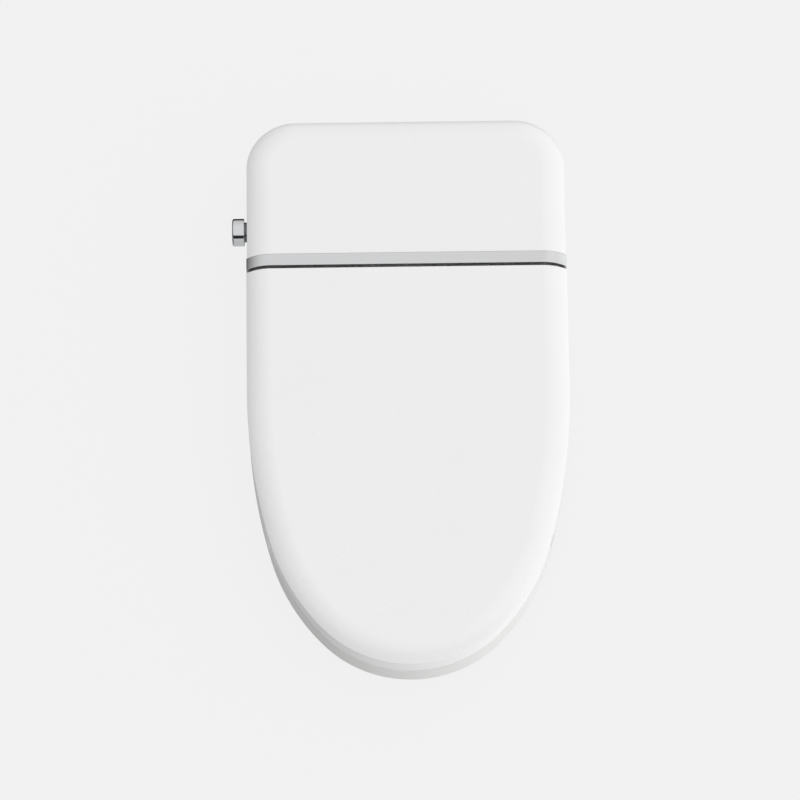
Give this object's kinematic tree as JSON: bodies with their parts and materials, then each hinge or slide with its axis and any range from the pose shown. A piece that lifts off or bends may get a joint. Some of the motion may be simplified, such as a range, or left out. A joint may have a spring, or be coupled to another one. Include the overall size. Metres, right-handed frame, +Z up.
{
  "type": "electric bidet seat",
  "caption": "Long electric bidet seat with a rear housing, side control knob, metal trim strip, heated seat ring and soft-close lid on one hinge line.",
  "frame": {"origin": "midway between the two fixing slots, on the plane of the bowl's rim", "axes": "+Z up, +Y towards the wall behind the unit, -Y towards the seat's tip, +X towards the side away from the knob"},
  "size_m": [0.398, 0.6722, 0.1184],
  "materials": {
    "cover_abs": "moulded ABS, satin gloss",
    "seat_resin": "moulded polypropylene, satin gloss",
    "casing_abs": "moulded ABS, fine matt grain",
    "trim_metal": "brushed and clear anodised",
    "knob_chrome": "bright chrome plating",
    "neck_metal": "turned, darker",
    "hinge_steel": "turned stainless",
    "damper_plastic": "black acetal",
    "buffer_rubber": "pale grey silicone",
    "pad_rubber": "black rubber",
    "nozzle_steel": "polished stainless tube",
    "nozzle_resin": "moulded resin",
    "gear_acetal": "natural acetal",
    "motor_steel": "zinc plated",
    "inner_plastic": "moulded, dark grey",
    "heater_plastic": "moulded, cream",
    "tube_silicone": "translucent silicone",
    "mounting_steel": "pressed stainless",
    "inlet_brass": "nickel-plated brass",
    "gland_nylon": "black nylon",
    "board_laminate": "green glass-epoxy board",
    "board_parts": "black moulded packages",
    "heater_foil": "etched foil",
    "filter_media": "activated carbon in a frame"
  },
  "bodies": {
    "housing": {"rear_cover": "cover_abs", "base_casing": "casing_abs", "deck_cover": "casing_abs", "nozzle_shroud": "casing_abs", "hinge_tower_left": "casing_abs", "hinge_tower_right": "casing_abs", "trim_strip": "trim_metal", "knob_bezel": "knob_chrome", "hinge_pin_left": "hinge_steel", "hinge_pin_right": "hinge_steel", "flap_pin": "hinge_steel", "cover_screws": "hinge_steel", "seat_damper": "damper_plastic", "lid_damper": "damper_plastic", "base_pads": "pad_rubber", "rear_nozzle_motor": "motor_steel", "front_nozzle_motor": "motor_steel", "fan_motor": "motor_steel", "nozzle_holder": "inner_plastic", "fan_housing": "inner_plastic", "dryer_duct": "inner_plastic", "knob_encoder": "inner_plastic", "encoder_bracket": "inner_plastic", "flow_selector": "inner_plastic", "valve_block": "inner_plastic", "water_pump": "inner_plastic", "board_standoffs": "inner_plastic", "inlet_filter": "inner_plastic", "water_heater": "heater_plastic", "water_tube": "tube_silicone", "water_inlet": "inlet_brass", "cable_gland": "gland_nylon", "power_board": "board_laminate", "control_board": "board_laminate", "power_components": "board_parts", "control_chips": "board_parts", "deodoriser_filter": "filter_media"},
    "seat": {"seat_shell": "seat_resin", "seat_base": "seat_resin", "seat_heater": "heater_foil", "seat_bumpers": "buffer_rubber"},
    "lid": {"lid": "cover_abs", "lid_buffers": "buffer_rubber"},
    "knob_slider": {"knob_neck": "neck_metal"},
    "knob": {"knob_cap": "knob_chrome", "knob_shaft": "neck_metal"},
    "rear_nozzle_body": {"rear_nozzle": "nozzle_steel", "rear_nozzle_tip": "nozzle_resin", "rear_nozzle_rack": "gear_acetal"},
    "front_nozzle_body": {"front_nozzle": "nozzle_steel", "front_nozzle_tip": "nozzle_resin", "front_nozzle_rack": "gear_acetal"},
    "rear_pinion_body": {"rear_pinion": "gear_acetal"},
    "front_pinion_body": {"front_pinion": "gear_acetal"},
    "fan": {"fan_rotor": "inner_plastic"},
    "flap": {"dryer_flap": "casing_abs"},
    "button": {"release_button": "casing_abs"},
    "plate": {"mounting_plate": "mounting_steel"}
  },
  "joints": [
    {"name": "seat_hinge", "type": "hinge", "parent": "housing", "child": "seat", "pos_m": [0, -0.042, 0.0839], "axis": [-1, 0, 0], "range_deg": [0, 98]},
    {"name": "lid_hinge", "type": "hinge", "parent": "seat", "child": "lid", "pos_m": [0, -0.042, 0.0839], "axis": [1, 0, 0], "range_deg": [-106, 0]},
    {"name": "knob_press", "type": "slide", "parent": "housing", "child": "knob_slider", "axis": [1, 0, 0], "range_m": [0, 0.003], "stiffness_N_per_m": 400},
    {"name": "knob_turn", "type": "hinge", "parent": "knob_slider", "child": "knob", "pos_m": [-0.2, 0.056, 0.06], "axis": [-1, 0, 0], "range_deg": [-60, 60]},
    {"name": "rear_nozzle_slide", "type": "slide", "parent": "housing", "child": "rear_nozzle_body", "axis": [0, -0.9945, -0.1045], "range_m": [0, 0.085]},
    {"name": "front_nozzle_slide", "type": "slide", "parent": "housing", "child": "front_nozzle_body", "axis": [0, -0.9945, -0.1045], "range_m": [0, 0.085]},
    {"name": "rear_pinion_spin", "type": "hinge", "parent": "housing", "child": "rear_pinion_body", "pos_m": [-0.0283, -0.0305, 0.02962], "axis": [0, -0.1045, 0.9945], "range_deg": [-609.5, 0]},
    {"name": "front_pinion_spin", "type": "hinge", "parent": "housing", "child": "front_pinion_body", "pos_m": [0.0283, -0.0305, 0.02962], "axis": [0, -0.1045, 0.9945], "range_deg": [0, 609.5]},
    {"name": "fan_spin", "type": "hinge", "parent": "housing", "child": "fan", "pos_m": [0.06, 0.096, 0.026], "axis": [0, 0, 1], "continuous": true},
    {"name": "flap_hinge", "type": "hinge", "parent": "housing", "child": "flap", "pos_m": [0.06, -0.0786, 0.0335], "axis": [-1, 0, 0], "range_deg": [0, 70]},
    {"name": "release_press", "type": "slide", "parent": "housing", "child": "button", "axis": [-1, 0, 0], "range_m": [0, 0.004], "stiffness_N_per_m": 300},
    {"name": "plate_slide", "type": "slide", "parent": "housing", "child": "plate", "axis": [0, 1, 0], "range_m": [0, 0.025]}
  ],
  "couplings": [
    {"joint": "rear_pinion_spin", "follows": "rear_nozzle_slide", "rad_per_m": -125},
    {"joint": "front_pinion_spin", "follows": "front_nozzle_slide", "rad_per_m": 125}
  ]
}
